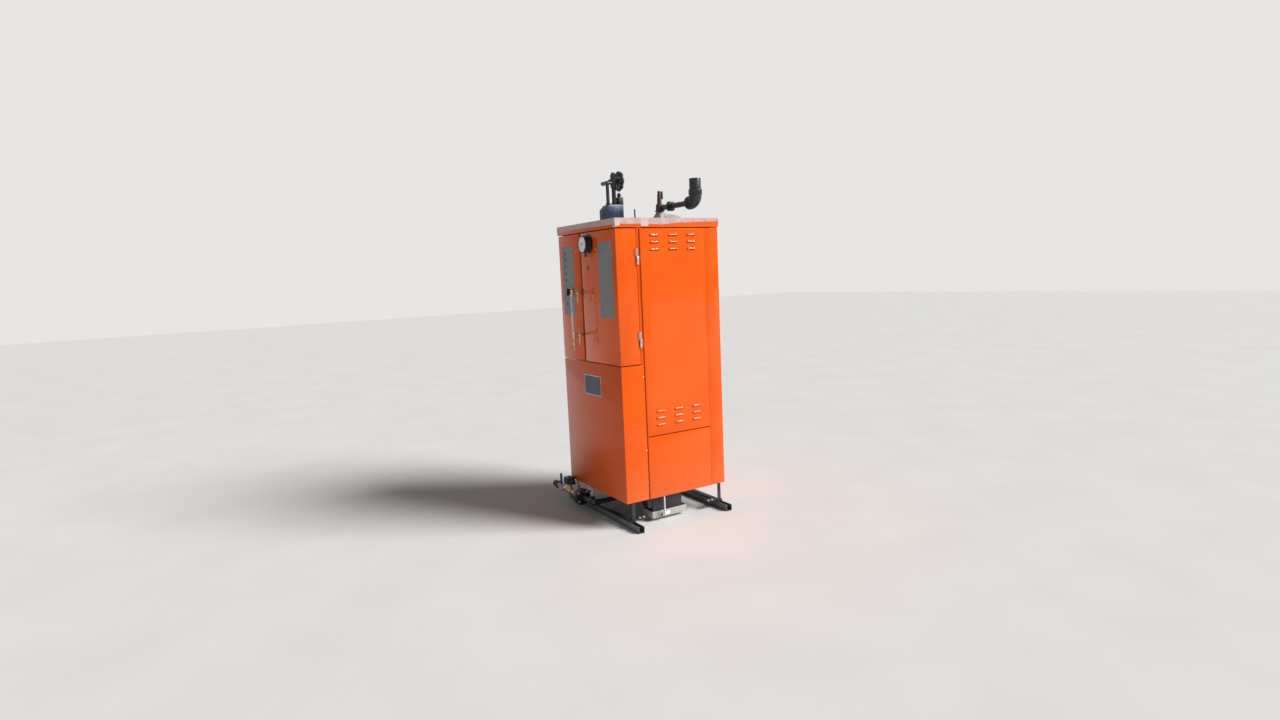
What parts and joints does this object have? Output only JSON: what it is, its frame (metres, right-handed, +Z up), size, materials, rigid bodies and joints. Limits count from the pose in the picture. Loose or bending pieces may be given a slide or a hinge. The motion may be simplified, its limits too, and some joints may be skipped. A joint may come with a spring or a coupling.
{
  "type": "industrial boiler",
  "caption": "Upright electric steam boiler in a sheet-metal cabinet on rails, with hinged doors, sight glass, pressure gauge, steam and safety valves and a blowdown line.",
  "frame": {"origin": "floor, at the middle of the four floor bolt holes, under the cabinet's middle", "axes": "+X to the right seen from the front, +Y to the back, +Z up; the doors face -Y"},
  "size_m": [1.088, 0.8575, 2.274],
  "materials": {
    "orange_paint": "gloss",
    "black_paint": "satin",
    "rail_steel": "satin",
    "pin_steel": "satin",
    "chrome_lever": "polished",
    "valve_brass": "satin",
    "valve_bronze": "weathered",
    "pipe_black": "satin",
    "chest_navy": "satin",
    "black_plastic": "matte",
    "lamp_lens": "gloss",
    "blue_plastic": "gloss",
    "white_plastic": "matte",
    "grey_plastic": "matte",
    "sight_glass": "clear",
    "jacket_foil": "satin"
  },
  "bodies": {
    "cabinet": {"lid": "orange_paint", "door_hinges": "pin_steel", "lower_front_panel": "orange_paint", "right_upper_panel": "orange_paint", "left_upper_panel": "orange_paint", "lower_side_panels": "orange_paint", "rear_panel": "orange_paint", "upper_frame": "orange_paint", "base_frame": "black_paint", "legs": "black_paint", "foot_bars": "black_paint", "rails": "rail_steel", "boiler_vessel": "jacket_foil", "gauge_cocks": "valve_brass", "gauge_glass": "sight_glass", "glass_guard": "pin_steel", "drain_cock": "valve_brass", "valve_chest": "chest_navy", "steam_valve": "pipe_black", "pressure_switch": "black_plastic", "safety_valve": "valve_bronze", "relief_pipe": "pipe_black", "blowdown_pipe": "pipe_black", "dump_valve": "valve_brass", "dump_coil": "black_plastic", "ball_valve": "pin_steel", "hose_adapter": "white_plastic", "hose_tail": "pipe_black", "bypass_hose": "white_plastic", "wiring_trough": "grey_plastic", "terminal_box": "black_plastic", "conduit": "white_plastic"},
    "right_door": {"right_door": "orange_paint", "pressure_gauge": "black_plastic"},
    "left_door": {"left_door": "orange_paint", "indicator_lamps": "lamp_lens", "isolator_base": "black_plastic"},
    "door_lock": {"door_lock": "pin_steel"},
    "isolator_knob": {"isolator_knob": "black_plastic"},
    "upper_cock_lever": {"upper_cock_lever": "chrome_lever"},
    "lower_cock_lever": {"lower_cock_lever": "chrome_lever"},
    "steam_handwheel": {"steam_handwheel": "black_plastic"},
    "safety_lever": {"safety_lever": "valve_bronze"},
    "ball_lever": {"ball_lever": "blue_plastic"}
  },
  "joints": [
    {"name": "right_door_hinge", "type": "hinge", "parent": "cabinet", "child": "right_door", "pos_m": [0.3965, -0.238, 1.4415], "axis": [0, 0, 1], "range_deg": [0, 120]},
    {"name": "left_door_hinge", "type": "hinge", "parent": "cabinet", "child": "left_door", "pos_m": [-0.3965, -0.238, 1.4415], "axis": [0, 0, -1], "range_deg": [0, 120]},
    {"name": "door_lock_turn", "type": "hinge", "parent": "right_door", "child": "door_lock", "pos_m": [0.031, -0.3825, 1.637], "axis": [0, 1, 0], "range_deg": [0, 90]},
    {"name": "isolator_turn", "type": "hinge", "parent": "left_door", "child": "isolator_knob", "pos_m": [-0.24, -0.3825, 1.487], "axis": [0, 1, 0], "range_deg": [0, 90]},
    {"name": "upper_cock_turn", "type": "hinge", "parent": "cabinet", "child": "upper_cock_lever", "pos_m": [-0.075, -0.4255, 1.485], "axis": [-1, 0, 0], "range_deg": [0, 90]},
    {"name": "lower_cock_turn", "type": "hinge", "parent": "cabinet", "child": "lower_cock_lever", "pos_m": [-0.075, -0.4255, 1.21], "axis": [-1, 0, 0], "range_deg": [0, 90]},
    {"name": "steam_wheel_turn", "type": "hinge", "parent": "cabinet", "child": "steam_handwheel", "pos_m": [-0.1, -0.061, 2.208], "axis": [0, 1, 0], "range_deg": [0, 720]},
    {"name": "safety_lever_lift", "type": "hinge", "parent": "cabinet", "child": "safety_lever", "pos_m": [-0.05, 0.232, 2.138], "axis": [1, 0, 0], "range_deg": [0, 60]},
    {"name": "ball_lever_turn", "type": "hinge", "parent": "cabinet", "child": "ball_lever", "pos_m": [-0.422, -0.446, 0.088], "axis": [0, -1, 0], "range_deg": [0, 90]}
  ]
}
